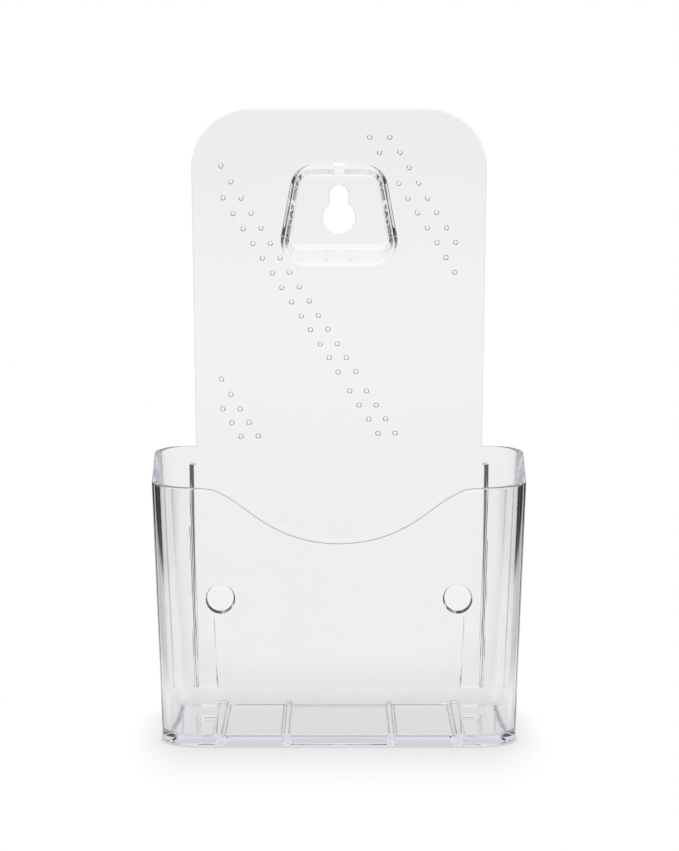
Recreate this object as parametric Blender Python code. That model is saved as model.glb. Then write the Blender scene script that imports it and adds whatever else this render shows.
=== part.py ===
"""Clear leaflet holder for a counter or a wall: a leaning back panel over an open
tray, with a scooped front, a keyhole dish and stand-off rails on the back.

Metres, +Z up, front towards -Y.  Run with:
    blender --background --python part.py
"""
import math

import bmesh
import bpy
from mathutils import Vector

MM = 0.001

# ---------------------------------------------------------------- dimensions (mm)
GAP = 0.3                # bond line between neighbouring pieces
Y_ORIGIN = 16.011        # brings the middle of the whole depth to Y = 0
LEAN = math.radians(6.75)    # the back leans away from the user

# tray
RIM_W = 111.0            # outside width at the rim, over the front corners
BASE_W = 105.5           # the same on the counter
REAR_RIM_W = 115.2       # outside width at the rim, over the rear corners
REAR_BASE_W = 106.3      # the same on the counter
BASE_D = 55.85           # rear wall's inner face to the front face, on the counter
RIM_D = 58.6             # the same at the front rim
WALL = 2.3
R_FRONT = 12.5           # outside plan radius of the front corners
R_REAR_RIM = 11.7        # outside plan radius of the rear corners, at the rim
R_REAR_BASE = 7.8        # the same on the counter
RIM_Z_FRONT = 77.15
RIM_Z_REAR = 83.0
FLOOR_T = 2.9
SIDE_RATE = (RIM_W - BASE_W) / 2.0 / RIM_Z_FRONT
REAR_RATE = (REAR_RIM_W - REAR_BASE_W) / 2.0 / RIM_Z_REAR
FRONT_RATE = (RIM_D - BASE_D) / RIM_Z_FRONT

# scoop in the front rim: distance from the middle, height of the rim
SCOOP = ((0.0, 60.7), (3.0, 60.85), (6.7, 61.25), (9.5, 61.8), (12.35, 62.55),
         (16.1, 63.95), (19.8, 65.8), (23.55, 68.1), (27.26, 70.8), (29.5, 72.45),
         (32.9, 74.7), (36.5, 76.45), (39.5, 77.0), (42.5, 77.15))

# back panel, in its own leaning plane: x across, v up the slope
PANEL_T = 2.3
PANEL_TOP_V = 190.5
PANEL_TOP_HW = 47.05     # half width extrapolated to the top edge
PANEL_RIM_V = 83.6
PANEL_RIM_HW = 44.95     # half width where the tray's rear wings start
PANEL_BASE_HW = 44.6
PANEL_R = 18.8

# keyhole dish in the panel: mouth at the front face, floor set back
DISH_MOUTH = ((-13.0, 172.4), (13.0, 172.4), (19.1, 140.3), (-19.1, 140.3))
DISH_MOUTH_R = (6.5, 6.5, 7.5, 7.5)
DISH_FLOOR = ((-12.2, 169.6), (12.2, 169.6), (15.9, 147.6), (-15.9, 147.6))
DISH_FLOOR_R = (4.5, 4.5, 2.8, 2.8)
DISH_DEPTH = 4.5
DISH_WALL = 1.6
DISH_FLOOR_T = 2.0
KEY_ROUND_R = 5.2
KEY_ROUND_V = 156.5
KEY_SLOT_HW = 3.05
KEY_SLOT_TOP_V = 166.8
NOTCH_HW = 1.8           # shallow groove across the dish's upper wall
NOTCH_DEPTH = 0.8

# rows of small round dimples in the panel's front face: (x, v)
DIMPLE_R = 0.85
DIMPLE_DEPTH = 0.35
DIMPLES = (
    (9.7, 181.5), (16.1, 181.5), (12.8, 176.6), (19.3, 176.7), (-37.4, 172.4),
    (22.2, 171.9), (-34.2, 167.4), (25.2, 167.0), (18.9, 166.9), (-36.7, 162.3),
    (-31.0, 162.2), (21.8, 162.2), (28.0, 162.2), (24.8, 157.5), (30.9, 157.7),
    (-33.5, 157.3), (-27.8, 157.4), (34.0, 152.8), (-30.3, 152.5), (-24.7, 152.7),
    (27.9, 152.8), (31.0, 148.1), (36.9, 148.2), (-27.2, 147.8), (-21.7, 147.9),
    (33.8, 143.4), (-24.2, 143.2), (-18.6, 143.3), (-21.0, 138.5), (-15.6, 138.7),
    (36.6, 138.7), (-18.1, 133.9), (-12.6, 134.1), (-15.0, 129.3), (-9.4, 129.6),
    (-11.9, 124.9), (-6.5, 125.1), (-9.0, 120.5), (-3.5, 120.7), (-6.0, 116.0),
    (-0.5, 116.1), (2.3, 111.7), (-3.1, 111.7), (-0.3, 107.1), (5.3, 107.3),
    (-37.1, 104.9), (3.4, 101.2), (8.7, 101.2), (-34.1, 100.1), (6.3, 96.7), (11.7, 96.7),
    (-36.7, 95.5), (-31.2, 95.5), (-33.8, 91.1), (-28.4, 91.2), (9.4, 92.2), (14.7, 92.4),
    (-30.9, 86.8), (-25.5, 86.9), (12.3, 87.8), (17.7, 87.8))

# stand-off rails behind the rear wall (left one; the right one is mirrored)
RAIL_TOP_V = 78.5
RAIL_OUT_TOP, RAIL_OUT_LOW = -47.0, -45.6
RAIL_IN_TOP, RAIL_IN_LOW = -45.3, -44.3
RAIL_LOW_V = 7.8
RAIL_FOOT_X = -37.95
RAIL_FOOT_TOP = (-39.2, 30.7)
RAIL_H = 3.4
PAD_X, PAD_V, PAD_R = 37.35, 35.75, 4.65
FACE_MIN = 0.3           # least height of the upright faces on the feet and pads

# floor
RIB_H = 1.0
RIBS = ((-37.5, -34.6), (-16.5, -14.6), (14.6, 16.5), (34.6, 37.5))
RELIEF_X = (17.0, 34.0)  # the underside is cut up between these, on both sides
RELIEF_H = 1.2


# ---------------------------------------------------------------- helpers
def clear_scene():
    for ob in list(bpy.data.objects):
        bpy.data.objects.remove(ob, do_unlink=True)
    for me in list(bpy.data.meshes):
        bpy.data.meshes.remove(me)


def material(name, rgb, alpha, rough):
    mat = bpy.data.materials.new(name)
    mat.use_nodes = True
    bsdf = mat.node_tree.nodes["Principled BSDF"]
    bsdf.inputs["Base Color"].default_value = (rgb[0], rgb[1], rgb[2], 1.0)
    bsdf.inputs["Roughness"].default_value = rough
    bsdf.inputs["Metallic"].default_value = 0.0
    bsdf.inputs["IOR"].default_value = 1.57
    bsdf.inputs["Transmission Weight"].default_value = 1.0
    bsdf.inputs["Alpha"].default_value = alpha
    mat.diffuse_color = (rgb[0], rgb[1], rgb[2], alpha)
    return mat


def add_object(name, bm, parent, mat, smooth=False):
    bmesh.ops.recalc_face_normals(bm, faces=bm.faces)
    mesh = bpy.data.meshes.new(name)
    bm.to_mesh(mesh)
    bm.free()
    for poly in mesh.polygons:
        poly.use_smooth = smooth
    ob = bpy.data.objects.new(name, mesh)
    bpy.context.scene.collection.objects.link(ob)
    ob.parent = parent
    if mat is not None:
        mesh.materials.append(mat)
    return ob


def boolean(ob, cutter, op="DIFFERENCE"):
    mod = ob.modifiers.new(op.lower(), "BOOLEAN")
    mod.operation = op
    mod.solver = "EXACT"
    mod.object = cutter
    cutter.hide_render = True
    cutter.display_type = "WIRE"
    bpy.context.view_layer.update()
    deps = bpy.context.evaluated_depsgraph_get()
    baked = bpy.data.meshes.new_from_object(ob.evaluated_get(deps))
    ob.modifiers.remove(mod)
    old = ob.data
    ob.data = baked
    baked.name = ob.name
    bpy.data.meshes.remove(old)
    bpy.data.objects.remove(cutter, do_unlink=True)


def rounded(points, radii, seg):
    """Closed outline with each corner replaced by an arc of seg steps."""
    out = []
    n = len(points)
    for i in range(n):
        p = Vector(points[i])
        a = (Vector(points[i - 1]) - p).normalized()
        b = (Vector(points[(i + 1) % n]) - p).normalized()
        half = a.angle(b) / 2.0
        reach = radii[i] / math.tan(half)
        centre = p + (a + b).normalized() * (radii[i] / math.sin(half))
        start = p + a * reach - centre
        turn = math.pi - 2.0 * half
        cross = start.x * (p + b * reach - centre).y - start.y * (p + b * reach - centre).x
        sign = 1.0 if cross > 0 else -1.0
        for k in range(seg + 1):
            ang = sign * turn * k / seg
            c, s = math.cos(ang), math.sin(ang)
            out.append((centre.x + start.x * c - start.y * s,
                        centre.y + start.x * s + start.y * c))
    return out


def offset(outline, dist):
    """Grow a convex outline by dist, point by point along its normals."""
    n = len(outline)
    cx = sum(p[0] for p in outline) / n
    cy = sum(p[1] for p in outline) / n
    out = []
    for i in range(n):
        a = Vector(outline[i - 1])
        p = Vector(outline[i])
        b = Vector(outline[(i + 1) % n])
        na = Vector(((p - a).y, -(p - a).x)).normalized()
        nb = Vector(((b - p).y, -(b - p).x)).normalized()
        if na.dot(p - Vector((cx, cy))) < 0:
            na = -na
        if nb.dot(p - Vector((cx, cy))) < 0:
            nb = -nb
        m = (na + nb).normalized()
        out.append(tuple(p + m * (dist / max(0.5, m.dot(na)))))
    return out


def prism(outline, y0, y1):
    """Closed solid from an (x, z) outline, between two y values (mm in, m out)."""
    bm = bmesh.new()
    front = [bm.verts.new((x * MM, y0 * MM, z * MM)) for x, z in outline]
    rear = [bm.verts.new((x * MM, y1 * MM, z * MM)) for x, z in outline]
    bm.faces.new(front)
    bm.faces.new(list(reversed(rear)))
    n = len(outline)
    for i in range(n):
        j = (i + 1) % n
        bm.faces.new((front[i], front[j], rear[j], rear[i]))
    return bm


def box(bm, lo, hi):
    v = [bm.verts.new((x * MM, y * MM, z * MM))
         for z in (lo[2], hi[2]) for y in (lo[1], hi[1]) for x in (lo[0], hi[0])]
    for f in ((0, 2, 3, 1), (4, 5, 7, 6), (0, 1, 5, 4), (2, 6, 7, 3), (0, 4, 6, 2), (1, 3, 7, 5)):
        bm.faces.new([v[i] for i in f])


def scoop_height(x):
    x = abs(x)
    for (x0, z0), (x1, z1) in zip(SCOOP, SCOOP[1:]):
        if x <= x1:
            t = (x - x0) / (x1 - x0)
            t = max(0.0, t)
            return z0 + (z1 - z0) * t
    return SCOOP[-1][1]


def rim_height(y):
    """The rim's plane falls from the rear wings to the front."""
    rear_y = RIM_Z_REAR * math.tan(LEAN)
    t = (y + RIM_D) / (rear_y + RIM_D)
    return RIM_Z_FRONT + (RIM_Z_REAR - RIM_Z_FRONT) * max(0.0, min(1.0, t))


# ---------------------------------------------------------------- tray sections
def tray_x(z):
    return BASE_W / 2.0 + SIDE_RATE * z


def tray_front(z):
    return -(BASE_D + FRONT_RATE * z)


def tray_rear(z):
    return z * math.tan(LEAN) + WALL / math.cos(LEAN)


def plan_half(z, inset):
    """Right-hand half of the tray's plan, rear corner first: the side wall spreads
    towards the rear, tangent to both corners."""
    rf, rr = R_FRONT, R_REAR_BASE + (R_REAR_RIM - R_REAR_BASE) * z / RIM_Z_REAR
    fx, fy = tray_x(z) - rf, tray_front(z) + rf
    bx, by = REAR_BASE_W / 2.0 + REAR_RATE * z - rr, tray_rear(z) - rr
    dx, dy = bx - fx, by - fy
    side = math.atan2(dy, dx) - math.acos((rf - rr) / math.hypot(dx, dy))
    pts = []
    for k in range(0, 10):
        a = math.pi / 2.0 + (side - math.pi / 2.0) * k / 9
        pts.append((bx + (rr - inset) * math.cos(a), by + (rr - inset) * math.sin(a)))
    for k in range(0, 11):
        a = side + (-math.pi / 2.0 - side) * k / 10
        pts.append((fx + (rf - inset) * math.cos(a), fy + (rf - inset) * math.sin(a)))
    return pts


def wall_path(z, inner, seam_x):
    """Right-hand half of the tray wall from the rear seam to the front seam."""
    t = WALL if inner else 0.0
    return [(seam_x, tray_rear(z) - t)] + plan_half(z, t)


def side_wall(name, sign, parent, mat):
    z0 = FLOOR_T + GAP
    bm = bmesh.new()
    ref = wall_path(RIM_Z_FRONT, False, PANEL_RIM_HW + GAP)
    n = len(ref)
    rows = []
    for i in range(n):
        row = []
        for inner in (False, True):
            seam0, seam1 = PANEL_BASE_HW + GAP + 0.1, PANEL_RIM_HW + GAP + 0.1
            low = wall_path(z0, inner, seam0)[i]
            top_z = rim_height(ref[i][1])
            for _ in range(3):
                top = wall_path(top_z, inner, seam1)[i]
                top_z = rim_height(wall_path(top_z, False, seam1)[i][1])
            row.append(bm.verts.new((sign * low[0] * MM, low[1] * MM, z0 * MM)))
            row.append(bm.verts.new((sign * top[0] * MM, top[1] * MM, top_z * MM)))
        rows.append(row)      # outer low, outer top, inner low, inner top
    for a, b in zip(rows, rows[1:]):
        bm.faces.new((a[0], b[0], b[1], a[1]))
        bm.faces.new((a[2], a[3], b[3], b[2]))
        bm.faces.new((a[1], b[1], b[3], a[3]))
        bm.faces.new((a[0], a[2], b[2], b[0]))
    for r in (rows[0], rows[-1]):
        bm.faces.new((r[0], r[1], r[3], r[2]))
    return add_object(name, bm, parent, mat)


def front_wall(parent, mat):
    z0 = FLOOR_T + GAP
    bm = bmesh.new()
    xs = sorted({sx * x for x, _ in SCOOP[:-1] for sx in (-1, 1)})
    edge_low = tray_x(z0) - R_FRONT - GAP
    edge_top = tray_x(RIM_Z_FRONT) - R_FRONT - GAP
    xs = [x for x in xs if abs(x) < edge_low - 0.5]
    xs = [-edge_top] + xs + [edge_top]
    rows = []
    for i, x in enumerate(xs):
        zt = scoop_height(x)
        xl = math.copysign(edge_low, x) if i in (0, len(xs) - 1) else x
        row = []
        for t in (0.0, WALL):
            row.append(bm.verts.new((xl * MM, (tray_front(z0) + t) * MM, z0 * MM)))
            row.append(bm.verts.new((x * MM, (tray_front(zt) + t) * MM, zt * MM)))
        rows.append(row)
    for a, b in zip(rows, rows[1:]):
        bm.faces.new((a[0], b[0], b[1], a[1]))
        bm.faces.new((a[2], a[3], b[3], b[2]))
        bm.faces.new((a[1], b[1], b[3], a[3]))
        bm.faces.new((a[0], a[2], b[2], b[0]))
    for r in (rows[0], rows[-1]):
        bm.faces.new((r[0], r[1], r[3], r[2]))
    return add_object("front_wall", bm, parent, mat)


def floor_outline(z):
    half = plan_half(z, 0.0)
    return half + [(-x, y) for x, y in reversed(half)]


def floor_plate(parent, mat):
    bm = bmesh.new()
    low = [bm.verts.new((x * MM, y * MM, 0.0)) for x, y in floor_outline(0.0)]
    top = [bm.verts.new((x * MM, y * MM, FLOOR_T * MM)) for x, y in floor_outline(FLOOR_T)]
    bm.faces.new(list(reversed(low)))
    bm.faces.new(top)
    n = len(low)
    for i in range(n):
        j = (i + 1) % n
        bm.faces.new((low[i], low[j], top[j], top[i]))
    ob = add_object("floor_plate", bm, parent, mat)
    cut = bmesh.new()
    for s in (-1, 1):
        a, b = sorted((s * RELIEF_X[0], s * RELIEF_X[1]))
        box(cut, (a, -BASE_D - 2.0, -1.0), (b, 12.0, RELIEF_H))
    boolean(ob, add_object("relief_cutter", cut, parent, None))
    return ob


def floor_rib(index, x0, x1, parent, mat):
    z0 = FLOOR_T + GAP
    y0 = tray_front(z0) + WALL + GAP
    y1 = z0 * math.tan(LEAN) - GAP
    bm = bmesh.new()
    lo = [(x0, y0), (x1, y0), (x1, y1), (x0, y1)]
    hi = [(x0 + 0.35, y0), (x1 - 0.35, y0), (x1 - 0.35, y1), (x0 + 0.35, y1)]
    v0 = [bm.verts.new((x * MM, y * MM, z0 * MM)) for x, y in lo]
    v1 = [bm.verts.new((x * MM, y * MM, (z0 + RIB_H) * MM)) for x, y in hi]
    bm.faces.new(list(reversed(v0)))
    bm.faces.new(v1)
    for i in range(4):
        j = (i + 1) % 4
        bm.faces.new((v0[i], v0[j], v1[j], v1[i]))
    return add_object("floor_rib_%d" % index, bm, parent, mat)


# ---------------------------------------------------------------- back panel
def panel_outline():
    base_v = (FLOOR_T + GAP + PANEL_T * math.sin(LEAN)) / math.cos(LEAN) + 0.05
    top = rounded(((PANEL_RIM_HW, PANEL_RIM_V), (PANEL_TOP_HW, PANEL_TOP_V),
                   (-PANEL_TOP_HW, PANEL_TOP_V), (-PANEL_RIM_HW, PANEL_RIM_V)),
                  (0.01, PANEL_R, PANEL_R, 0.01), 14)
    arc = [p for p in top if p[1] > PANEL_RIM_V + 10.0]
    return ([(-PANEL_BASE_HW, base_v), (PANEL_BASE_HW, base_v), (PANEL_RIM_HW, PANEL_RIM_V)]
            + arc + [(-PANEL_RIM_HW, PANEL_RIM_V)])


def back_panel(parent, mat):
    ob = add_object("back_panel", prism(panel_outline(), 0.0, PANEL_T), parent, mat)
    hole = offset(rounded(DISH_MOUTH, DISH_MOUTH_R, 7), DISH_WALL + GAP)
    boolean(ob, add_object("dish_cutter", prism(hole, -3.0, PANEL_T + 3.0), parent, None))
    pits = bmesh.new()
    for x, v in DIMPLES:
        ring = [(x + DIMPLE_R * math.cos(2 * math.pi * k / 8),
                 v + DIMPLE_R * math.sin(2 * math.pi * k / 8)) for k in range(8)]
        f = [pits.verts.new((a * MM, -0.3 * MM, b * MM)) for a, b in ring]
        r = [pits.verts.new((a * MM, DIMPLE_DEPTH * MM, b * MM)) for a, b in ring]
        pits.faces.new(f)
        pits.faces.new(list(reversed(r)))
        for k in range(8):
            j = (k + 1) % 8
            pits.faces.new((f[k], f[j], r[j], r[k]))
    if DIMPLES:
        boolean(ob, add_object("dimple_cutter", pits, parent, None))
    return ob


def keyhole_dish(parent, mat):
    mouth = rounded(DISH_MOUTH, DISH_MOUTH_R, 7)
    floor = rounded(DISH_FLOOR, DISH_FLOOR_R, 7)
    loops = ((offset(floor, DISH_WALL), DISH_DEPTH + DISH_FLOOR_T),
             (offset(mouth, DISH_WALL), 0.0), (mouth, 0.0), (floor, DISH_DEPTH))
    bm = bmesh.new()
    rings = [[bm.verts.new((x * MM, y * MM, v * MM)) for x, v in loop] for loop, y in loops]
    n = len(mouth)
    bm.faces.new(rings[0])
    for a, b in zip(rings, rings[1:]):
        for i in range(n):
            j = (i + 1) % n
            bm.faces.new((a[i], b[i], b[j], a[j]))
    bm.faces.new(list(reversed(rings[3])))
    ob = add_object("keyhole_dish", bm, parent, mat)

    ang0 = math.asin(KEY_SLOT_HW / KEY_ROUND_R)
    pts = []
    for k in range(25):
        a = math.pi / 2 + ang0 + (2 * math.pi - 2 * ang0) * k / 24
        pts.append((KEY_ROUND_R * math.cos(a), KEY_ROUND_V + KEY_ROUND_R * math.sin(a)))
    top_c = KEY_SLOT_TOP_V - KEY_SLOT_HW
    for k in range(11):
        a = math.pi * k / 10
        pts.append((KEY_SLOT_HW * math.cos(a), top_c + KEY_SLOT_HW * math.sin(a)))
    boolean(ob, add_object("key_cutter", prism(pts, DISH_DEPTH - 2.0, DISH_DEPTH + 5.0),
                           parent, None))
    groove = bmesh.new()
    rate = (DISH_MOUTH[0][1] - DISH_FLOOR[0][1]) / DISH_DEPTH
    far = DISH_DEPTH - 1.0
    sides = []
    for x in (-NOTCH_HW, NOTCH_HW):
        sides.append([groove.verts.new((x * MM, y * MM, v * MM)) for y, v in (
            (-1.0, 166.0), (far, 166.0),
            (far, DISH_MOUTH[0][1] + NOTCH_DEPTH - rate * far),
            (-1.0, DISH_MOUTH[0][1] + NOTCH_DEPTH + rate))])
    groove.faces.new(sides[0])
    groove.faces.new(list(reversed(sides[1])))
    for i in range(4):
        j = (i + 1) % 4
        groove.faces.new((sides[0][i], sides[0][j], sides[1][j], sides[1][i]))
    boolean(ob, add_object("notch_cutter", groove, parent, None))
    return ob


# ---------------------------------------------------------------- rails and pads
def wedge(outline, y0):
    """Solid on the outline whose rear face stands upright, so that it is thin at the
    top and thick at the bottom."""
    top = max(v for _, v in outline)
    bm = bmesh.new()
    a = [bm.verts.new((x * MM, y0 * MM, v * MM)) for x, v in outline]
    b = [bm.verts.new((x * MM, (y0 + FACE_MIN + (top - v) * math.tan(LEAN)) * MM, v * MM))
         for x, v in outline]
    bm.faces.new(a)
    bm.faces.new(list(reversed(b)))
    n = len(a)
    for i in range(n):
        j = (i + 1) % n
        bm.faces.new((a[i], b[i], b[j], a[j]))
    return bm


def standoff_rail(name, sign, parent, mat):
    y0 = PANEL_T + GAP
    strip = ((RAIL_OUT_TOP, RAIL_TOP_V), (RAIL_IN_TOP, RAIL_TOP_V),
             (RAIL_IN_LOW, RAIL_LOW_V), (RAIL_OUT_LOW, RAIL_LOW_V))
    foot = ((RAIL_IN_LOW - 0.6, RAIL_LOW_V), (RAIL_FOOT_X, RAIL_LOW_V),
            RAIL_FOOT_TOP, (RAIL_IN_LOW - 0.35, RAIL_FOOT_TOP[1]))
    ob = add_object(name, prism([(sign * -x, v) for x, v in strip], y0, y0 + RAIL_H),
                    parent, mat)
    extra = add_object("foot_tool", wedge([(sign * -x, v) for x, v in foot], y0), parent, None)
    boolean(ob, extra, "UNION")
    return ob


def pad(name, sign, parent, mat):
    ring = [(sign * PAD_X + PAD_R * math.cos(2 * math.pi * k / 28),
             PAD_V + PAD_R * math.sin(2 * math.pi * k / 28)) for k in range(28)]
    y0 = PANEL_T + GAP
    return add_object(name, wedge(ring, y0), parent, mat)


# ---------------------------------------------------------------- build
def main():
    clear_scene()
    root = bpy.data.objects.new("holder_origin", None)
    root.location = (0.0, Y_ORIGIN * MM, 0.0)
    bpy.context.scene.collection.objects.link(root)
    slope = bpy.data.objects.new("panel_plane", None)
    slope.rotation_euler = (-LEAN, 0.0, 0.0)
    slope.parent = root
    bpy.context.scene.collection.objects.link(slope)
    bpy.context.view_layer.update()

    clear = (0.93, 0.94, 0.96)
    back_panel(slope, material("clear_panel", clear, 0.35, 0.04))
    keyhole_dish(slope, material("clear_dish", (0.90, 0.91, 0.95), 0.40, 0.04))
    front_wall(root, material("clear_front", clear, 0.35, 0.04))
    side_wall("left_wall", -1, root, material("clear_left", (0.90, 0.91, 0.95), 0.38, 0.04))
    side_wall("right_wall", 1, root, material("clear_right", (0.90, 0.91, 0.95), 0.38, 0.04))
    floor_plate(root, material("clear_floor", (0.86, 0.88, 0.95), 0.42, 0.05))
    for i, (x0, x1) in enumerate(RIBS, 1):
        floor_rib(i, x0, x1, root, material("clear_rib_%d" % i, (0.86, 0.88, 0.95), 0.42, 0.05))
    for name, sign in (("left", -1), ("right", 1)):
        standoff_rail(name + "_standoff_rail", sign, slope,
                      material("clear_rail_" + name, (0.84, 0.86, 0.92), 0.45, 0.05))
        pad(name + "_standoff_pad", sign, slope,
            material("clear_pad_" + name, (0.88, 0.90, 0.95), 0.42, 0.05))


main()
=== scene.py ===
"""Looks for the clear leaflet holder: one polished clear moulding on a pale sweep
under soft light."""

import math

import bmesh
import bpy
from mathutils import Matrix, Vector
from mathutils.geometry import delaunay_2d_cdt

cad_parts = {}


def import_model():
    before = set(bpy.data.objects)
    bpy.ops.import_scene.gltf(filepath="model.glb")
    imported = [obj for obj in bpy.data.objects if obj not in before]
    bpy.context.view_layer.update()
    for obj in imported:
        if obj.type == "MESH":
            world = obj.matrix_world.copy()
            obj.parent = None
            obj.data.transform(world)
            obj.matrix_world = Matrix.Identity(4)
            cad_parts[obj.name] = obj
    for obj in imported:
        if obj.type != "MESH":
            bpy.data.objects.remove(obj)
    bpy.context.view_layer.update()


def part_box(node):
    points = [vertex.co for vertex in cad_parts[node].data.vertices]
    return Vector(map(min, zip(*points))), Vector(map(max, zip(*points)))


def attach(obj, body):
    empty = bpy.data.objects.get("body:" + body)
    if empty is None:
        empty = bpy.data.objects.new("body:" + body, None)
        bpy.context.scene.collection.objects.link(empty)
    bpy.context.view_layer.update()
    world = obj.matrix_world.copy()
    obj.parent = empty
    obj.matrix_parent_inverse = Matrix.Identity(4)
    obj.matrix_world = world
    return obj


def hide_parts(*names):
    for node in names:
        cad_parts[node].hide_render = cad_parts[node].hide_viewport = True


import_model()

MM = 0.001
LEAN = math.radians(6.75)
SIN, COS, TAN = math.sin(LEAN), math.cos(LEAN), math.tan(LEAN)

# ------------------------------------------------------------ sizes, as in the CAD (mm)
RIM_W, BASE_W, REAR_RIM_W, REAR_BASE_W = 111.0, 105.5, 115.2, 106.3
RIM_D, BASE_D = 58.6, 55.85
WALL, R_FRONT, R_REAR_RIM, R_REAR_BASE = 2.3, 12.5, 11.7, 7.8
RIM_ZF, RIM_ZR, FLOOR_T = 77.15, 83.0, 2.9
SIDE_RATE = (RIM_W - BASE_W) / 2 / RIM_ZF
REAR_RATE = (REAR_RIM_W - REAR_BASE_W) / 2 / RIM_ZR
FRONT_RATE = (RIM_D - BASE_D) / RIM_ZF
SCOOP = ((0.0, 60.7), (3.0, 60.85), (6.7, 61.25), (9.5, 61.8), (12.35, 62.55),
         (16.1, 63.95), (19.8, 65.8), (23.55, 68.1), (27.26, 70.8), (29.5, 72.45),
         (32.9, 74.7), (36.5, 76.45), (39.5, 77.0), (42.8, 77.15))
PANEL_TOP_V, PANEL_TOP_HW, PANEL_RIM_V, PANEL_R = 190.5, 47.05, 83.6, 18.8
DISH_MOUTH = ((-13.0, 172.4), (13.0, 172.4), (19.1, 140.3), (-19.1, 140.3))
DISH_MOUTH_R = (6.5, 6.5, 7.5, 7.5)
DISH_FLOOR = ((-12.2, 169.6), (12.2, 169.6), (15.9, 147.6), (-15.9, 147.6))
DISH_FLOOR_R = (4.5, 4.5, 2.8, 2.8)
DISH_DEPTH, DISH_WALL, DISH_FLOOR_T = 4.5, 1.6, 2.0
KEY_R, KEY_V, SLOT_HW, SLOT_TOP = 5.2, 156.5, 3.05, 166.8
NOTCH_HW, NOTCH_DEPTH = 1.8, 0.8
RIB_H = 1.0
RIBS = ((-37.5, -34.6), (-16.5, -14.6), (14.6, 16.5), (34.6, 37.5))
RELIEF_X, RELIEF_H = (17.0, 34.0), 1.2
PAD_X, PAD_V, PAD_R = 37.35, 35.75, 4.65
RAIL_H, FACE_MIN = 3.4, 0.3
PIT_R, PIT_H, PIT_SLOPE, PAD_DRAFT = 0.88, 0.36, 54.0, 0.65
DIMPLES = (
    (9.7, 181.5), (16.1, 181.5), (12.8, 176.6), (19.3, 176.7), (-37.4, 172.4),
    (22.2, 171.9), (-34.2, 167.4), (25.2, 167.0), (18.9, 166.9), (-36.7, 162.3),
    (-31.0, 162.2), (21.8, 162.2), (28.0, 162.2), (24.8, 157.5), (30.9, 157.7),
    (-33.5, 157.3), (-27.8, 157.4), (34.0, 152.8), (-30.3, 152.5), (-24.7, 152.7),
    (27.9, 152.8), (31.0, 148.1), (36.9, 148.2), (-27.2, 147.8), (-21.7, 147.9),
    (33.8, 143.4), (-24.2, 143.2), (-18.6, 143.3), (-21.0, 138.5), (-15.6, 138.7),
    (36.6, 138.7), (-18.1, 133.9), (-12.6, 134.1), (-15.0, 129.3), (-9.4, 129.6),
    (-11.9, 124.9), (-6.5, 125.1), (-9.0, 120.5), (-3.5, 120.7), (-6.0, 116.0),
    (-0.5, 116.1), (2.3, 111.7), (-3.1, 111.7), (-0.3, 107.1), (5.3, 107.3),
    (-37.1, 104.9), (3.4, 101.2), (8.7, 101.2), (-34.1, 100.1), (6.3, 96.7), (11.7, 96.7),
    (-36.7, 95.5), (-31.2, 95.5), (-33.8, 91.1), (-28.4, 91.2), (9.4, 92.2), (14.7, 92.4),
    (-30.9, 86.8), (-25.5, 86.9), (12.3, 87.8), (17.7, 87.8))

# foot of the panel's front face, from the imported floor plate
Y0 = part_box("floor_plate")[0][1] / MM + BASE_D + FRONT_RATE * FLOOR_T

# edge radii of the moulding (mm)
E_RIM, E_BASE, E_FLOOR, E_PANEL = 0.35, 0.7, 1.06, 0.45
E_LIP, E_DISH, E_ROOT, E_BACK, E_KEY = 0.35, 0.6, 0.5, 0.7, 0.22


# ------------------------------------------------------------ frame helpers
def local(x, y, z):
    """Tray coordinates (y from the panel's foot) to the panel's leaning axes."""
    return (x, y * COS - z * SIN, y * SIN + z * COS)


def world(p):
    x, y, v = p
    return Vector((x * MM, (y * COS + v * SIN + Y0) * MM, (-y * SIN + v * COS) * MM))


def make_object(name, bm):
    """Panel-axis millimetres to an object, still in those axes."""
    bmesh.ops.recalc_face_normals(bm, faces=bm.faces)
    me = bpy.data.meshes.new(name)
    bm.to_mesh(me)
    bm.free()
    ob = bpy.data.objects.new(name, me)
    bpy.context.scene.collection.objects.link(ob)
    return ob


def boolean(ob, cutter, op="DIFFERENCE"):
    mod = ob.modifiers.new("cut", "BOOLEAN")
    mod.operation = op
    mod.solver = "EXACT"
    mod.object = cutter
    bpy.context.view_layer.update()
    dg = bpy.context.evaluated_depsgraph_get()
    me = bpy.data.meshes.new_from_object(ob.evaluated_get(dg))
    old = ob.data
    ob.modifiers.clear()
    ob.data = me
    bpy.data.meshes.remove(old)
    data = cutter.data
    bpy.data.objects.remove(cutter, do_unlink=True)
    bpy.data.meshes.remove(data)


def inside(p, poly):
    x, y = p
    hit = False
    j = len(poly) - 1
    for i in range(len(poly)):
        (xi, yi), (xj, yj) = poly[i], poly[j]
        if (yi > y) != (yj > y) and x < (xj - xi) * (y - yi) / (yj - yi) + xi:
            hit = not hit
        j = i
    return hit


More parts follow.
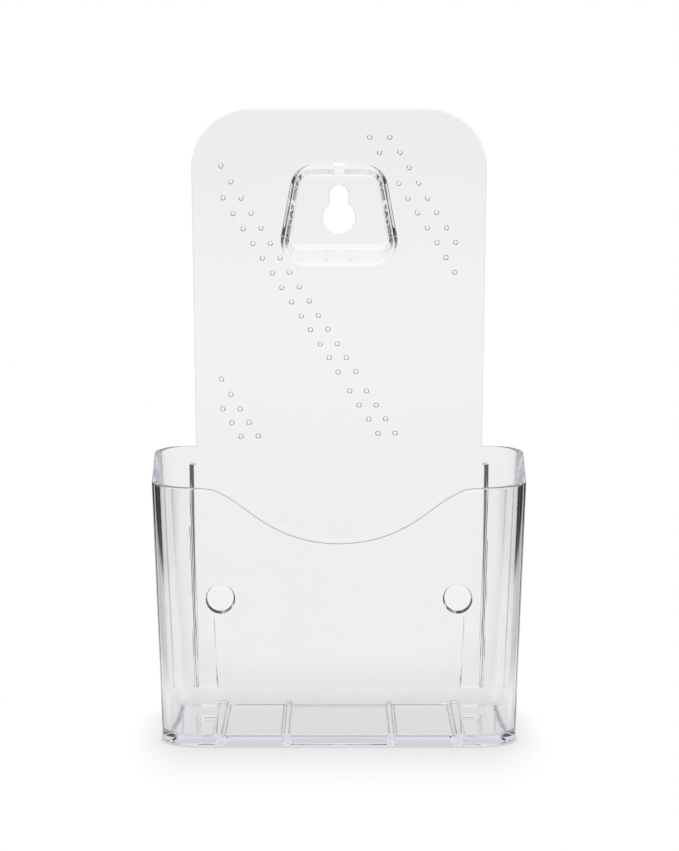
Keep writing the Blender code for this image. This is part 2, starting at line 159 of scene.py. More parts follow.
def fill(bm, outer, holes):
    """Clean triangles over a flat outline with holes; every loop is a list of BMVerts."""
    loops = [outer] + list(holes)
    verts = [v for loop in loops for v in loop]
    flat = [Vector((v.co.x, v.co.z)) for v in verts]
    edges, base = [], 0
    for loop in loops:
        n = len(loop)
        edges += [(base + i, base + (i + 1) % n) for i in range(n)]
        base += n
    pts, _, faces, source, _, _ = delaunay_2d_cdt(flat, edges, [], 0, 1e-7)
    owner = [verts[s[0]] if s else None for s in source]
    polys = []
    for loop in loops:
        poly = [(v.co.x, v.co.z) for v in loop]
        xs, ys = [p[0] for p in poly], [p[1] for p in poly]
        polys.append((poly, min(xs), max(xs), min(ys), max(ys)))
    for tri in faces:
        c = sum((pts[i] for i in tri), Vector((0.0, 0.0))) / 3.0
        if not inside(c, polys[0][0]):
            continue
        if any(a <= c.x <= b and d <= c.y <= e and inside(c, poly)
               for poly, a, b, d, e in polys[1:]):
            continue
        tri_verts = [owner[i] for i in tri]
        if None not in tri_verts and len(set(tri_verts)) == 3:
            try:
                bm.faces.new(tri_verts)
            except ValueError:
                pass


def bridge(bm, a, b):
    n = len(a)
    for i in range(n):
        j = (i + 1) % n
        bm.faces.new((a[i], b[i], b[j], a[j]))


def set_normals(ob):
    """Flat planes keep their own normal; edges and corners blend into them."""
    me = ob.data
    polys = me.polygons
    n_of = [tuple(p.normal) for p in polys]
    area = [p.area for p in polys]
    groups = {}
    keys = []
    for p in polys:
        n, c = p.normal, p.center
        key = (round(n.x * 400), round(n.y * 400), round(n.z * 400), round(n.dot(c) * 4e4))
        keys.append(key)
        groups[key] = groups.get(key, 0.0) + p.area
    flat = [groups[k] > 8e-6 for k in keys]
    around = [[] for _ in me.vertices]
    for i, p in enumerate(polys):
        for v in p.vertices:
            around[v].append(i)
    near = math.cos(math.radians(31.0))
    normals = []
    for i, p in enumerate(polys):
        ni = Vector(n_of[i])
        for v in p.vertices:
            if flat[i]:
                normals.append(tuple(ni))
                continue
            best, best_dot = None, near
            total = Vector((0.0, 0.0, 0.0))
            for j in around[v]:
                nj = Vector(n_of[j])
                d = ni.dot(nj)
                if flat[j] and d > best_dot:
                    best, best_dot = nj, d
                elif d > near:
                    total += nj * area[j]
            normals.append(tuple(best if best is not None else
                                 (total.normalized() if total.length > 0 else ni)))
    for p in polys:
        p.use_smooth = True
    me.normals_split_custom_set(normals)


def hermite(table, x):
    """Smooth curve through a symmetric table of (distance, height)."""
    x = abs(x)
    pts = [(-table[1][0], table[1][1])] + list(table) + [(table[-1][0] + 3.0, table[-1][1])]
    for i in range(1, len(pts) - 2):
        (x0, z0), (x1, z1) = pts[i], pts[i + 1]
        if x <= x1:
            m0 = (z1 - pts[i - 1][1]) / (x1 - pts[i - 1][0])
            m1 = (pts[i + 2][1] - z0) / (pts[i + 2][0] - x0)
            h = x1 - x0
            t = (x - x0) / h
            return ((2 * t ** 3 - 3 * t ** 2 + 1) * z0 + (t ** 3 - 2 * t ** 2 + t) * h * m0
                    + (-2 * t ** 3 + 3 * t ** 2) * z1 + (t ** 3 - t ** 2) * h * m1)
    return table[-1][1]


# ------------------------------------------------------------ plan of the tray
def plan(z, d, key):
    """Point of the tray's right-hand plan at height z, d inside the outer face."""
    kind, t = key
    rf = R_FRONT
    rr = R_REAR_BASE + (R_REAR_RIM - R_REAR_BASE) * z / RIM_ZR
    yf = -(BASE_D + FRONT_RATE * z)
    yr = z * TAN + WALL / COS
    fx, fy = BASE_W / 2 + SIDE_RATE * z - rf, yf + rf
    bx, by = REAR_BASE_W / 2 + REAR_RATE * z - rr, yr - rr
    if kind == "rear":
        return (WING_X if t > 0.5 else bx), yr - d / COS
    if kind == "front":
        return t * fx, yf + d
    dx, dy = bx - fx, by - fy
    side = math.atan2(dy, dx) - math.acos((rf - rr) / math.hypot(dx, dy))
    if kind == "arc_r":
        a = math.pi / 2 + (side - math.pi / 2) * t
        return bx + (rr - d) * math.cos(a), by + (rr - d / COS) * math.sin(a)
    if kind == "arc_f":
        a = side + (-math.pi / 2 - side) * t
        return fx + (rf - d) * math.cos(a), fy + (rf - d) * math.sin(a)
    c, s = math.cos(side), math.sin(side)                 # along the straight side
    ax, ay = bx + (rr - d) * c, by + (rr - d) * s
    ex, ey = fx + (rf - d) * c, fy + (rf - d) * s
    return ax + (ex - ax) * t, ay + (ey - ay) * t


WING_X = 45.02
N_WALL = 9
N_ARC_R, N_SIDE, N_ARC_F, N_FRONT = 26, 6, 40, 44
KEYS = ([("rear", 1.0), ("rear", 0.0)]
        + [("arc_r", i / N_ARC_R) for i in range(1, N_ARC_R + 1)]
        + [("side", i / N_SIDE) for i in range(1, N_SIDE)]
        + [("arc_f", i / N_ARC_F) for i in range(0, N_ARC_F + 1)]
        + [("front", 1 - i / N_FRONT) for i in range(1, N_FRONT + 1)])


def rim_z(x, y, kind):
    rear = RIM_ZR * TAN
    t = max(0.0, min(1.0, (y + RIM_D) / (rear + RIM_D)))
    z = RIM_ZF + (RIM_ZR - RIM_ZF) * t
    if kind == "front":
        z = min(z, hermite(SCOOP, x))
    return z


def rim_point(key, d, drop):
    """Rim point d inside the outer face, drop below the rim."""
    z = RIM_ZF
    for _ in range(7):
        x, y = plan(z, d, key)
        z = rim_z(x, y, key[0]) - drop
    x, y = plan(z, d, key)
    return x, y, z


Q = 5                                  # steps round each edge


def profile(key):
    """Cross-section of the tray's wall from the underside to the floor."""
    pts = []
    for i in range(Q + 1):
        a = math.pi / 2 * i / Q
        z = E_BASE * (1 - math.cos(a))
        pts.append(plan(z, E_BASE * (1 - math.sin(a)), key) + (z,))
    up = rim_point(key, 0.0, E_RIM)
    for i in range(1, N_WALL + 1):
        z = E_BASE + (up[2] - E_BASE) * i / (N_WALL + 1)
        pts.append(plan(z, 0.0, key) + (z,))
    for i in range(Q):
        a = math.pi / 2 * i / (Q - 1)
        pts.append(rim_point(key, E_RIM * (1 - math.cos(a)), E_RIM * (1 - math.sin(a))))
    for i in range(Q):
        a = math.pi / 2 * i / (Q - 1)
        pts.append(rim_point(key, WALL - E_RIM * (1 - math.sin(a)), E_RIM * (1 - math.cos(a))))
    down = pts[-1]
    z1 = FLOOR_T + E_FLOOR
    for i in range(1, N_WALL + 1):
        z = down[2] + (z1 - down[2]) * i / (N_WALL + 1)
        pts.append(plan(z, WALL, key) + (z,))
    for i in range(Q + 1):
        a = math.pi / 2 * i / Q
        z = FLOOR_T + E_FLOOR * (1 - math.sin(a))
        pts.append(plan(z, WALL + E_FLOOR * (1 - math.cos(a)), key) + (z,))
    return pts


I_OUT0, I_OUT1 = Q, Q + 1 + N_WALL               # rear plane, foot to rim
I_IN1 = Q + 1 + N_WALL + 2 * Q - 1               # front plane, rim
I_IN0 = I_IN1 + N_WALL + 1                       # front plane, top of the floor fillet


def outline_panel():
    """Right half of the panel's outline above the rim, from the wing up to the middle."""
    lo = Vector((45.0, PANEL_RIM_V))
    hi = Vector((PANEL_TOP_HW, PANEL_TOP_V))
    up = (hi - lo).normalized()
    top = Vector((-1.0, 0.0))
    half = (-up).angle(top) / 2
    reach = PANEL_R / math.tan(half)
    start = hi - up * reach
    centre = hi + ((-up) + top).normalized() * (PANEL_R / math.sin(half))
    end = hi + top * reach
    pts = [(lo + (start - lo) * (i / 8), Vector((up.y, -up.x))) for i in range(8)]
    a0 = math.atan2((start - centre).y, (start - centre).x)
    a1 = math.atan2((end - centre).y, (end - centre).x)
    for i in range(49):
        a = a0 + (a1 - a0) * i / 48
        n = Vector((math.cos(a), math.sin(a)))
        pts.append((centre + n * PANEL_R, n))
    return pts


def rounded(points, radii, seg):
    out = []
    n = len(points)
    for i in range(n):
        p = Vector(points[i])
        a = (Vector(points[i - 1]) - p).normalized()
        b = (Vector(points[(i + 1) % n]) - p).normalized()
        half = a.angle(b) / 2
        reach = radii[i] / math.tan(half)
        c = p + (a + b).normalized() * (radii[i] / math.sin(half))
        s, e = p + a * reach - c, p + b * reach - c
        turn = math.pi - 2 * half
        sign = 1.0 if s.x * e.y - s.y * e.x > 0 else -1.0
        for k in range(seg + 1):
            g = sign * turn * k / seg
            out.append((c.x + s.x * math.cos(g) - s.y * math.sin(g),
                        c.y + s.x * math.sin(g) + s.y * math.cos(g)))
    return out


def offset(outline, dist):
    n = len(outline)
    cx = sum(p[0] for p in outline) / n
    cy = sum(p[1] for p in outline) / n
    out = []
    for i in range(n):
        a, p, b = Vector(outline[i - 1]), Vector(outline[i]), Vector(outline[(i + 1) % n])
        na = Vector(((p - a).y, -(p - a).x)).normalized()
        nb = Vector(((b - p).y, -(b - p).x)).normalized()
        mid = p - Vector((cx, cy))
        na = -na if na.dot(mid) < 0 else na
        nb = -nb if nb.dot(mid) < 0 else nb
        m = (na + nb).normalized()
        out.append(tuple(p + m * (dist / max(0.5, m.dot(na)))))
    return out


def circle(cx, cv, r, n):
    return [(cx + r * math.cos(2 * math.pi * k / n), cv + r * math.sin(2 * math.pi * k / n))
            for k in range(n)]


def ring(bm, outline, y):
    """Loop of vertices; y is a number, or a function of v."""
    return [bm.verts.new((x, y(v) if callable(y) else y, v)) for x, v in outline]


# ------------------------------------------------------------ details of the planes
def dish(bm):
    """Keyhole dish; returns its loops on the panel's front and rear planes."""
    mouth = rounded(DISH_MOUTH, DISH_MOUTH_R, 18)
    floor = rounded(DISH_FLOOR, DISH_FLOOR_R, 18)
    depth = DISH_DEPTH + DISH_FLOOR_T

    def blend(a, b, t):
        return [(p[0] + (q[0] - p[0]) * t, p[1] + (q[1] - p[1]) * t) for p, q in zip(a, b)]
    outer_m, outer_f = offset(mouth, DISH_WALL), offset(floor, DISH_WALL)

    rings = []
    for i in range(Q + 1):                              # lip
        a = math.pi / 2 * i / Q
        d, y = E_LIP * (1 - math.sin(a)), E_LIP * (1 - math.cos(a))
        rings.append(ring(bm, offset(blend(mouth, floor, y / DISH_DEPTH), d), y))
    for i in range(Q + 1):                              # foot of the inner wall
        a = math.pi / 2 * i / Q
        d, y = E_DISH * (1 - math.cos(a)), DISH_DEPTH - E_DISH * (1 - math.sin(a))
        rings.append(ring(bm, offset(blend(mouth, floor, y / DISH_DEPTH), -d), y))
    for a, b in zip(rings, rings[1:]):
        bridge(bm, a, b)

    back = []
    for i in range(Q + 1):                              # root of the outer wall
        a = math.pi / 2 * i / Q
        d, y = E_ROOT * (1 - math.sin(a)), WALL + E_ROOT * (1 - math.cos(a))
        back.append(ring(bm, offset(blend(outer_m, outer_f, y / depth), d), y))
    for i in range(Q + 1):                              # outer edge at the back
        a = math.pi / 2 * i / Q
        d, y = E_BACK * (1 - math.cos(a)), depth - E_BACK * (1 - math.sin(a))
        back.append(ring(bm, offset(blend(outer_m, outer_f, y / depth), -d), y))
    for a, b in zip(back, back[1:]):
        bridge(bm, a, b)

    def key(extra):
        r, hw = KEY_R + extra, SLOT_HW + extra
        a0 = math.asin(hw / r)
        pts = []
        for k in range(49):
            a = math.pi / 2 + a0 + (2 * math.pi - 2 * a0) * k / 48
            pts.append((r * math.cos(a), KEY_V + r * math.sin(a)))
        for k in range(1, 24):
            a = math.pi * k / 24
            pts.append((hw * math.cos(a), SLOT_TOP - SLOT_HW + hw * math.sin(a)))
        return pts
    e = E_KEY
    holes = [ring(bm, key(e), DISH_DEPTH), ring(bm, key(e * 0.3), DISH_DEPTH + e * 0.3),
             ring(bm, key(0.0), DISH_DEPTH + e), ring(bm, key(0.0), depth - e),
             ring(bm, key(e * 0.3), depth - e * 0.3), ring(bm, key(e), depth)]
    for a, b in zip(holes, holes[1:]):
        bridge(bm, a, b)
    fill(bm, rings[-1], [holes[0]])
    fill(bm, back[-1], [holes[-1]])
    return rings[0], back[0]


def pits(bm):
    """Small round dimples with sloping sides; returns their loops on the rear plane."""
    n = 28
    slope = math.radians(PIT_SLOPE)
    sec = [(0.0, 0.0)]
    for i in range(1, 4):                                # rounded lip
        a = slope * i / 3
        sec.append((0.08 * math.sin(a), 0.08 * (1 - math.cos(a))))
    r1, y1 = sec[-1][0] + (PIT_H - 0.10) / math.tan(slope), PIT_H - 0.06
    sec.append((r1, y1))
    for i in range(1, 4):                                # rounded foot
        a = slope * (1 - i / 3)
        sec.append((r1 + 0.08 * (math.sin(slope) - math.sin(a)),
                    y1 + 0.06 * (1 - (1 - math.cos(a)) / (1 - math.cos(slope)))))
    loops = []
    for x, v in DIMPLES:
        made = [ring(bm, circle(x, v, PIT_R - r, n), WALL - y) for r, y in sec]
        for p, q in zip(made, made[1:]):
            bridge(bm, p, q)
        bm.faces.new(made[-1])
        loops.append(made[0])
    return loops


def gate(bm):
    """Faint ring left by the gate, on the rear plane."""
    n = 40
    rr = [ring(bm, circle(-0.1, 8.75, r, n), y) for r, y in
          ((2.05, WALL), (1.92, WALL - 0.03), (1.78, WALL - 0.03), (1.65, WALL))]
    for a, b in zip(rr, rr[1:]):
        bridge(bm, a, b)
    bm.faces.new(rr[-1])
    return rr[0]


def pad(bm, sign):
    """Round pad with an upright face; returns its loop on the rear plane."""
    n = 64
    top = PAD_V + PAD_R

    def face(v):
        return WALL + 0.08 + (top - v) * TAN * 1.15

    rings = [ring(bm, circle(sign * PAD_X, PAD_V, PAD_R, n), WALL)]
    e = 0.06
    for i in range(4):
        a = math.pi / 2 * i / 3
        o = []
        for k in range(n):
            t = 2 * math.pi * k / n
            v = PAD_V + PAD_R * math.sin(t)
            r = PAD_R - PAD_DRAFT * (face(v) - WALL) - e * (1 - math.cos(a))
            o.append((sign * PAD_X + r * math.cos(t), PAD_V + r * math.sin(t)))
        rings.append(ring(bm, o, lambda v, a=a: face(v) - e * (1 - math.sin(a))))
    for a, b in zip(rings, rings[1:]):
        bridge(bm, a, b)
    bm.faces.new(rings[-1])
    return rings[0]


# ------------------------------------------------------------ the moulding
def build_shell():
    bm = bmesh.new()
    cols = []
    for side in (1, -1):
        half = []
        for key in KEYS:
            if side < 0 and key == ("front", 0.0):
                continue
            col = []
            for p in profile(key):
                x, y, v = local(*p)
                col.append([side * x, y, v])
            if key[0] == "rear":           # exactly on the panel's two planes
                for j in range(I_OUT0, I_OUT1 + 1):
                    col[j][1] = WALL
                for j in range(I_IN1, I_IN0 + 1):
                    col[j][1] = 0.0
            half.append([bm.verts.new(c) for c in col])
        cols.append(half)
    right, left = cols
    loop = right + list(reversed(left))      # rear right, round the front, to the rear left

    def strip(a, b, j0, j1):
        for j in range(j0, j1):
            bm.faces.new((a[j], a[j + 1], b[j + 1], b[j]))

    n = len(loop[0])
    for a, b in zip(loop, loop[1:]):
        strip(a, b, 0, n - 1)
    a, b = loop[-1], loop[0]                 # below the panel only the fillets cross over
    strip(a, b, 0, I_OUT0)
    strip(a, b, I_IN0, n - 1)
    bm.faces.new([c[0] for c in loop])                       # underside
    bm.faces.new([c[n - 1] for c in reversed(loop)])         # floor

    # panel edge: rounded strip round the outline, front plane to rear plane
    outline = outline_panel()
    full = [(p, nn) for p, nn in outline] + [
        (Vector((-p.x, p.y)), Vector((-nn.x, nn.y))) for p, nn in reversed(outline[:-1])]
    edge = []
    for p, nn in full:
        row = []
        for i in range(Q):
            a = math.pi / 2 * i / (Q - 1)
            q = p - nn * (E_PANEL * (1 - math.sin(a)))
            row.append((q.x, E_PANEL * (1 - math.cos(a)), q.y))
        for i in range(Q):
            a = math.pi / 2 * i / (Q - 1)
            q = p - nn * (E_PANEL * (1 - math.cos(a)))
            row.append((q.x, WALL - E_PANEL * (1 - math.sin(a)), q.y))
        edge.append([bm.verts.new(c) for c in row])
    for a, b in zip(edge, edge[1:]):
        for j in range(len(a) - 1):
            bm.faces.new((a[j], b[j], b[j + 1], a[j + 1]))
    for col, row in ((loop[0], edge[0]), (loop[-1], edge[-1])):
        rim = col[I_OUT1:I_IN1 + 1]           # rear plane, over the rim, to the front plane
        for j in range(2 * Q - 1):
            bm.faces.new((rim[j], rim[j + 1], row[2 * Q - 2 - j], row[2 * Q - 1 - j]))

    mouth, root = dish(bm)
    front = ([loop[0][j] for j in range(I_IN0, I_IN1 - 1, -1)] + [r[0] for r in edge]
             + [loop[-1][j] for j in range(I_IN1, I_IN0 + 1)])
    rear = ([loop[0][j] for j in range(I_OUT0, I_OUT1 + 1)] + [r[-1] for r in edge]
            + [loop[-1][j] for j in range(I_OUT1, I_OUT0 - 1, -1)])
    fill(bm, front, [mouth])
    fill(bm, rear, [root, gate(bm), pad(bm, -1), pad(bm, 1)] + pits(bm))
    bmesh.ops.remove_doubles(bm, verts=bm.verts, dist=1e-5)
    return make_object("holder_shell", bm)


def loft(bm, rows):
    """Closed solid from rows of points with the same count."""
    made = [[bm.verts.new(p) for p in row] for row in rows]
    for a, b in zip(made, made[1:]):
        bridge(bm, a, b)
    bm.faces.new(list(reversed(made[0])))
    bm.faces.new(made[-1])


def rib_tool(x0, x1):
    """Rib sunk a little into the floor, walls and fillets."""
    yf, yr = -(BASE_D + FRONT_RATE * 3) + WALL - 0.6, 3.0 * TAN + 0.5
    sec = [(x0 - 0.1, FLOOR_T - 0.5), (x0, FLOOR_T + 0.2), (x0 + 0.12, FLOOR_T + RIB_H - 0.3),
           (x0 + 0.2, FLOOR_T + RIB_H - 0.1), (x0 + 0.4, FLOOR_T + RIB_H),
           (x1 - 0.4, FLOOR_T + RIB_H), (x1 - 0.2, FLOOR_T + RIB_H - 0.1),
           (x1 - 0.12, FLOOR_T + RIB_H - 0.3), (x1, FLOOR_T + 0.2), (x1 + 0.1, FLOOR_T - 0.5)]
    bm = bmesh.new()
    loft(bm, [[local(x, y, z) for x, z in sec] for y in (yf, yr)])
    return make_object("rib_tool", bm)


def relief_tool(x0, x1):
    e = 0.35
    sec = [(x0, -1.0), (x0, RELIEF_H - e), (x0 + 0.1, RELIEF_H - 0.1), (x0 + e, RELIEF_H),
           (x1 - e, RELIEF_H), (x1 - 0.1, RELIEF_H - 0.1), (x1, RELIEF_H - e), (x1, -1.0)]
    bm = bmesh.new()
    loft(bm, [[local(x, y, z) for x, z in sec] for y in (-BASE_D - 3.0, 12.0)])
    return make_object("relief_tool", bm)


def groove_tool():
    """Notch across the dish's upper wall."""
    rate = (DISH_MOUTH[0][1] - DISH_FLOOR[0][1]) / DISH_DEPTH
    far = DISH_DEPTH - 1.0
    sec = ((-1.0, 166.0), (far, 166.0), (far, DISH_MOUTH[0][1] + NOTCH_DEPTH - rate * far),
           (-1.0, DISH_MOUTH[0][1] + NOTCH_DEPTH + rate))
    bm = bmesh.new()
    loft(bm, [[(x, y, v) for y, v in sec] for x in (-NOTCH_HW, NOTCH_HW)])
    return make_object("groove_tool", bm)


def rail_tool(sign):
    """Upright rail with a slanting outer face."""
    y0, y1 = WALL - 0.7, WALL + RAIL_H
    top = [(-47.3, y0), (-47.29, y1 - 1.6), (-47.25, y1 - 1.4), (-46.0, y1 - 0.08),
           (-45.92, y1), (-45.5, y1), (-45.36, y1 - 0.06), (-45.3, y1 - 0.2), (-45.28, y0)]
    shift = [1.3, 1.3, 1.3, 1.15, 1.15, 1.05, 1.0, 1.0, 1.0]
    low = [(x + s, y) for (x, y), s in zip(top, shift)]
    rows = []
    vt, vl = 77.75, 8.55
    for k in range(13):
        t = k / 12
        rows.append([(-sign * (xa + (xb - xa) * t), ya, vl + (vt - vl) * t)
                     for (xa, ya), (xb, yb) in zip(low, top)])
    def end(row, v, drop):
        return [(x, min(y, y1 - drop), v) for x, y, _ in row]
    rows = [end(rows[0], vl - 0.75, 0.95)] + rows + [end(rows[-1], vt + 0.75, 0.95)]
    bm = bmesh.new()
    loft(bm, rows)
    return make_object("rail_tool", bm)


def foot_tool(sign):
    """Wedge between the rail and its slanting edge, with an upright rear face."""
    out = [(-45.0, 7.8), (-37.95, 7.8), (-39.2, 30.7), (-44.75, 30.7)]
    inn = [(-45.0, 8.65), (-38.5, 8.65), (-39.5, 28.2), (-44.75, 28.2)]

    def face(v):
        return WALL + 0.28 + (30.7 - v) * TAN

    def edge(v):
        return WALL + 0.02 if v > 28.2 else face(v) - 0.62
    bm = bmesh.new()
    loft(bm, [[(-sign * x, WALL - 0.7, v) for x, v in out],
              [(-sign * x, edge(v), v) for x, v in out],
              [(-sign * x, face(v), v) for x, v in inn]])
    return make_object("foot_tool", bm)


# ------------------------------------------------------------ build the moulding
shell = build_shell()
boolean(shell, groove_tool())
for sign in (-1, 1):
    boolean(shell, rail_tool(sign), "UNION")
    boolean(shell, foot_tool(sign), "UNION")
for x0, x1 in RIBS:
    boolean(shell, rib_tool(x0, x1), "UNION")
for sign in (-1, 1):
    boolean(shell, relief_tool(*sorted((sign * RELIEF_X[0], sign * RELIEF_X[1]))))
for v in shell.data.vertices:
    v.co = world(v.co)
shell.data.update()
set_normals(shell)
shell.name = shell.data.name = "clear_moulding"
shell.data.materials.clear()


# ------------------------------------------------------------ clear plastic
def clear_plastic(name, rough, wave, tint, density):
    mat = bpy.data.materials.new(name)
    mat.use_nodes = True
    nt = mat.node_tree
    bsdf = nt.nodes["Principled BSDF"]
    out = nt.nodes["Material Output"]
    bsdf.inputs["IOR"].default_value = 1.57
    bsdf.inputs["Transmission Weight"].default_value = 1.0

    tc = nt.nodes.new("ShaderNodeTexCoord")
    mapping = nt.nodes.new("ShaderNodeMapping")
    mapping.inputs["Scale"].default_value = (1.0, 1.0, 0.35)
    nt.links.new(tc.outputs["Object"], mapping.inputs["Vector"])

    # a trace of flow lines in the colour
    flow = nt.nodes.new("ShaderNodeTexNoise")
    flow.inputs["Scale"].default_value = 14.0
    flow.inputs["Detail"].default_value = 3.0
    nt.links.new(mapping.outputs["Vector"], flow.inputs["Vector"])
    ramp = nt.nodes.new("ShaderNodeValToRGB")
    ramp.color_ramp.elements[0].position = 0.30
    ramp.color_ramp.elements[0].color = (0.990, 0.991, 0.995, 1.0)
    ramp.color_ramp.elements[1].position = 0.72
    ramp.color_ramp.elements[1].color = (1.0, 1.0, 1.0, 1.0)
    nt.links.new(flow.outputs["Fac"], ramp.inputs["Fac"])
    nt.links.new(ramp.outputs["Color"], bsdf.inputs["Base Color"])

    # fine haze in the polish
    haze = nt.nodes.new("ShaderNodeTexNoise")
    haze.inputs["Scale"].default_value = 220.0
    haze.inputs["Detail"].default_value = 4.0
    nt.links.new(mapping.outputs["Vector"], haze.inputs["Vector"])
    to_rough = nt.nodes.new("ShaderNodeMapRange")
    to_rough.inputs["From Min"].default_value = 0.35
    to_rough.inputs["From Max"].default_value = 0.75
    to_rough.inputs["To Min"].default_value = 0.0
    to_rough.inputs["To Max"].default_value = rough
    nt.links.new(haze.outputs["Fac"], to_rough.inputs["Value"])
    nt.links.new(to_rough.outputs["Result"], bsdf.inputs["Roughness"])

    # long shallow ripples left by the mould
    ripple = nt.nodes.new("ShaderNodeTexNoise")
    ripple.inputs["Scale"].default_value = 45.0
    ripple.inputs["Detail"].default_value = 1.0
    nt.links.new(mapping.outputs["Vector"], ripple.inputs["Vector"])
    bump = nt.nodes.new("ShaderNodeBump")
    bump.inputs["Strength"].default_value = wave
    bump.inputs["Distance"].default_value = 0.001
    nt.links.new(ripple.outputs["Fac"], bump.inputs["Height"])
    nt.links.new(bump.outputs["Normal"], bsdf.inputs["Normal"])

    vol = nt.nodes.new("ShaderNodeVolumeAbsorption")
    vol.inputs["Color"].default_value = (tint[0], tint[1], tint[2], 1.0)
    vol.inputs["Density"].default_value = density
    nt.links.new(vol.outputs["Volume"], out.inputs["Volume"])
    return mat


shell.data.materials.append(clear_plastic("clear_styrene", 0.01, 0.02, (0.60, 0.64, 0.93), 5.0))
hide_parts("back_panel", "front_wall", "left_wall", "right_wall", "floor_plate",
            "floor_rib_1", "floor_rib_2", "floor_rib_3", "floor_rib_4", "keyhole_dish",
            "left_standoff_rail", "right_standoff_rail", "left_standoff_pad",
            "right_standoff_pad")
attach(shell, "root")


# ------------------------------------------------------------ stage
def node_tools(nt):
    def calc(op, a, b=None, clamp=False):
        m = nt.nodes.new("ShaderNodeMath")
        m.operation = op
        m.use_clamp = clamp
        for i, v in enumerate((a, b)):
            if v is None:
                continue
            if isinstance(v, (int, float)):
                m.inputs[i].default_value = v
            else:
                nt.links.new(v, m.inputs[i])
        return m.outputs["Value"]

    def ease(value, lo, hi, a, b):
        m = nt.nodes.new("ShaderNodeMapRange")
        m.interpolation_type = "SMOOTHSTEP"
        m.inputs["From Min"].default_value = lo
        m.inputs["From Max"].default_value = hi
        for name, v in (("To Min", a), ("To Max", b)):
            if isinstance(v, (int, float)):
                m.inputs[name].default_value = v
            else:
                nt.links.new(v, m.inputs[name])
        nt.links.new(value, m.inputs["Value"])
        return m.outputs["Result"]

    def curve(value, table):
        """Smooth curve through (degrees from straight behind, brightness)."""
        out = None
        for (a0, v0), (a1, v1) in zip(table, table[1:]):
            out = ease(value, math.radians(a0), math.radians(a1), v0 if out is None else out, v1)
        return out

    def blend(fac, a, b):
        return calc("ADD", calc("MULTIPLY", a, calc("SUBTRACT", 1.0, fac)),
                    calc("MULTIPLY", b, fac))
    return calc, ease, curve, blend


def seen_straight(nt, calc):
    """1 where a ray reached the stage without being reflected on the way."""
    lp = nt.nodes.new("ShaderNodeLightPath")
    return lp.outputs["Is Camera Ray"], calc("LESS_THAN", lp.outputs["Glossy Depth"], 0.5)


def build_world():
    """White card behind, dark flags at the sides, soft box above, dim room in front."""
    w = bpy.data.worlds.new("studio")
    bpy.context.scene.world = w
    w.use_nodes = True
    nt = w.node_tree
    nt.nodes.clear()
    calc, ease, curve, blend = node_tools(nt)
    out = nt.nodes.new("ShaderNodeOutputWorld")
    tc = nt.nodes.new("ShaderNodeTexCoord")
    sep = nt.nodes.new("ShaderNodeSeparateXYZ")
    nt.links.new(tc.outputs["Generated"], sep.inputs["Vector"])
    side = calc("ARCTAN2", calc("ABSOLUTE", sep.outputs["X"]), sep.outputs["Y"])
    rise = calc("ARCSINE", sep.outputs["Z"])
    rad = math.radians
    low = curve(side, LOW)
    mid = curve(side, MID)
    high = curve(side, HIGH)
    total = ease(rise, rad(5), rad(11), low, mid)
    total = ease(rise, rad(13), rad(20), total, high)
    total = ease(rise, rad(36), rad(58), total, TOP)
    total = ease(rise, rad(-1.2), rad(-0.2), curve(side, BELOW), total)
    clear = calc("MULTIPLY", curve(side, CLEAR_FAR), ease(rise, rad(-4), rad(1.5), 1.015, 0.955))
    clear = ease(rise, rad(12), rad(40), clear, TOP)
    camera, straight = seen_straight(nt, calc)
    env = nt.nodes.new("ShaderNodeBackground")
    env.inputs["Color"].default_value = (0.99, 0.992, 1.0, 1.0)
    nt.links.new(blend(straight, total, clear), env.inputs["Strength"])
    plain = nt.nodes.new("ShaderNodeBackground")
    plain.inputs["Color"].default_value = (1.0, 1.0, 1.0, 1.0)
    plain.inputs["Strength"].default_value = 1.0
    mix = nt.nodes.new("ShaderNodeMixShader")
    nt.links.new(camera, mix.inputs["Fac"])
    nt.links.new(env.outputs["Background"], mix.inputs[1])
    nt.links.new(plain.outputs["Background"], mix.inputs[2])
    nt.links.new(mix.outputs["Shader"], out.inputs["Surface"])


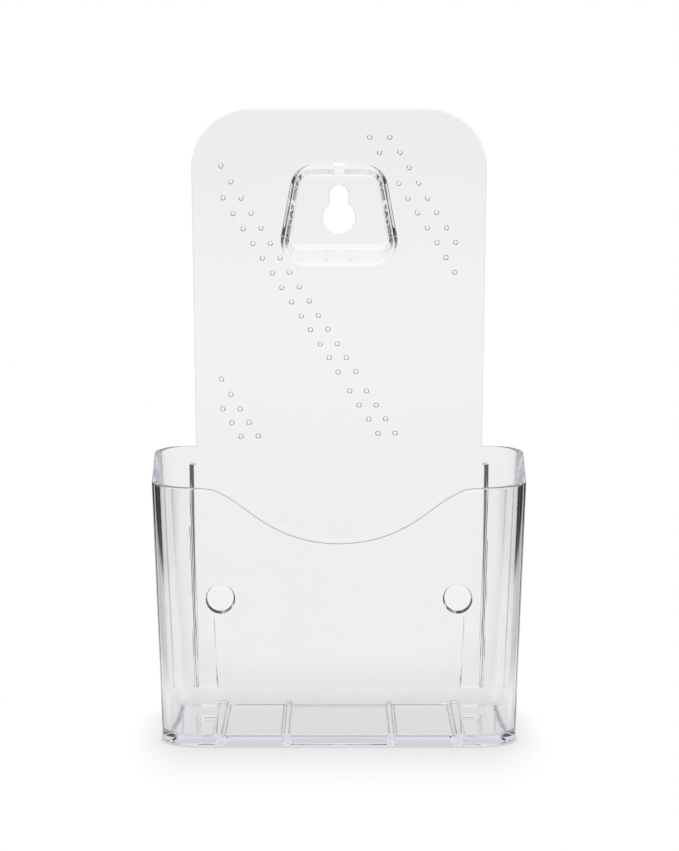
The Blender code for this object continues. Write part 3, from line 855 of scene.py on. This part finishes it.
def build_floor():
    """Round pale sweep whose emission stands in for even lighting, with the holder's soft contact
    shadow painted into it, and painted shade near the holder and towards the sides for rays the
    moulding passes on or reflects.
    """
    bm = bmesh.new()
    bmesh.ops.create_circle(bm, cap_ends=True, segments=96, radius=1.3)
    me = bpy.data.meshes.new("floor_stage")
    bm.to_mesh(me)
    bm.free()
    floor = bpy.data.objects.new("floor_stage", me)
    floor.location = (0.0, 0.0, -0.00005)
    bpy.context.scene.collection.objects.link(floor)
    mat = bpy.data.materials.new("pale_floor_painted_shadow")
    mat.use_nodes = True
    nt = mat.node_tree
    nt.nodes.clear()
    calc, ease, curve, blend = node_tools(nt)
    tc = nt.nodes.new("ShaderNodeTexCoord")
    sep = nt.nodes.new("ShaderNodeSeparateXYZ")
    nt.links.new(tc.outputs["Object"], sep.inputs["Vector"])
    ax = calc("ABSOLUTE", sep.outputs["X"])
    y = calc("ADD", sep.outputs["Y"], 0.0109)

    def hypot(a, b):
        return calc("SQRT", calc("ADD", calc("MULTIPLY", a, a), calc("MULTIPLY", b, b)))
    # outside the footprint's rounded rectangle; the painted contact shadow is long in front, short
    # beside
    dx = calc("MAXIMUM", calc("SUBTRACT", ax, 0.040), 0.0)
    dy = calc("MAXIMUM", calc("SUBTRACT", calc("ABSOLUTE", y), 0.0165), 0.0)
    r = calc("MAXIMUM", hypot(dx, dy), 1e-5)
    reach_y = calc("ADD", 0.0125, blend(calc("LESS_THAN", y, 0.0), PAINTED_SHADOW_REACH[2], PAINTED_SHADOW_REACH[1]))
    h = hypot(calc("DIVIDE", dx, 0.0125 + PAINTED_SHADOW_REACH[0]), calc("DIVIDE", dy, reach_y))
    dist = calc("SUBTRACT", r, 0.0125)
    part = calc("DIVIDE", dist, calc("SUBTRACT", calc("DIVIDE", r, h), 0.0125))
    part = calc("MINIMUM", calc("MAXIMUM", part, 0.0), 1.0)
    fade = calc("POWER", calc("SUBTRACT", 1.0, part), 1.5)
    seen = calc("SUBTRACT", 1.0, calc("MULTIPLY", fade, 1.0 - PAINTED_SHADOW_TONE[1]))
    seen = ease(dist, 0.0, 0.0015, PAINTED_SHADOW_TONE[0], seen)
    # what the clear moulding passes on, and what it reflects: painted shade on the floor, darker
    # near the holder and towards the sides
    angle = calc("ARCTAN2", ax, sep.outputs["Y"])
    clear = ease(dist, 0.040, 0.11, ease(dist, 0.0, 0.040, FLOOR_PAINTED_SHADE[0], 0.86),
                 curve(angle, CLEAR))
    far = ease(ax, 0.25, 0.32, ease(ax, 0.08, 0.15, FLOOR_PAINTED_SHADE[1], FLOOR_PAINTED_SHADE[2]), FLOOR_PAINTED_SHADE[3])
    studio = ease(dist, 0.0, 0.06, FLOOR_PAINTED_SHADE[0], far)
    camera, straight = seen_straight(nt, calc)
    value = blend(camera, blend(straight, studio, clear), seen)
    emit = nt.nodes.new("ShaderNodeEmission")
    nt.links.new(value, emit.inputs["Strength"])
    emit.inputs["Color"].default_value = (1.0, 1.0, 1.0, 1.0)
    out = nt.nodes.new("ShaderNodeOutputMaterial")
    nt.links.new(emit.outputs["Emission"], out.inputs["Surface"])
    me.materials.append(mat)


LOW = ((0, 0.90), (17, 0.90), (25, 0.02), (46, 0.02), (60, 0.08), (100, 0.12), (125, 0.12),
       (150, 0.03))
MID = ((0, 0.80), (18, 0.85), (28, 0.05), (48, 0.05), (75, 0.45), (110, 0.45), (160, 0.42))
HIGH = ((0, 1.05), (12, 0.90), (28, 0.60), (52, 0.80), (75, 0.70), (180, 0.44))
BELOW = ((0, 0.95), (18, 0.95), (28, 0.80), (42, 0.85), (54, 0.80), (64, 0.05), (115, 0.10),
         (150, 0.50))
# floor brightness by bearing for rays the moulding passes on: painted shade, dimmer towards the
# sides
CLEAR = ((0, 0.945), (12, 0.945), (36, 0.82), (180, 0.84))
CLEAR_FAR = ((0, 0.945), (12, 0.945), (36, 0.82), (50, 0.80), (60, 0.15), (120, 0.15), (150, 0.84))
TOP = 1.20
# the contact shadow painted into the floor's emission: its reach beside, in front and behind, then
# its brightness at the very edge and near the footprint
PAINTED_SHADOW_REACH = (0.0105, 0.065, 0.016)
PAINTED_SHADOW_TONE = (0.64, 0.80)
# the floor's painted shade as the moulding passes it on or reflects it: near the holder, then from
# the middle out to the far sides
FLOOR_PAINTED_SHADE = (0.68, 0.93, 0.60, 0.04)
build_world()
build_floor()


# ------------------------------------------------------------ camera
cam_data = bpy.data.cameras.new("camera")
cam = bpy.data.objects.new("camera", cam_data)
bpy.context.scene.collection.objects.link(cam)
cam_data.lens = 2977.07 * 36.0 / 851.0
cam_data.sensor_width = 36.0
cam_data.clip_start, cam_data.clip_end = 0.01, 50.0
cam.location = (0.00015, (-924.01 + Y0) * MM, 0.17195)
cam.rotation_euler = (math.radians(90.0 - 5.037), 0.0, 0.0)
bpy.context.scene.camera = cam

sc = bpy.context.scene
sc.view_settings.view_transform = "Standard"
sc.view_settings.look = "None"
sc.view_settings.exposure = 0.0
sc.view_settings.gamma = 1.0
sc.cycles.max_bounces = 28
sc.cycles.transmission_bounces = 26
sc.cycles.glossy_bounces = 20
sc.cycles.diffuse_bounces = 3
sc.cycles.sample_clamp_indirect = 8.0

bpy.context.view_layer.update()
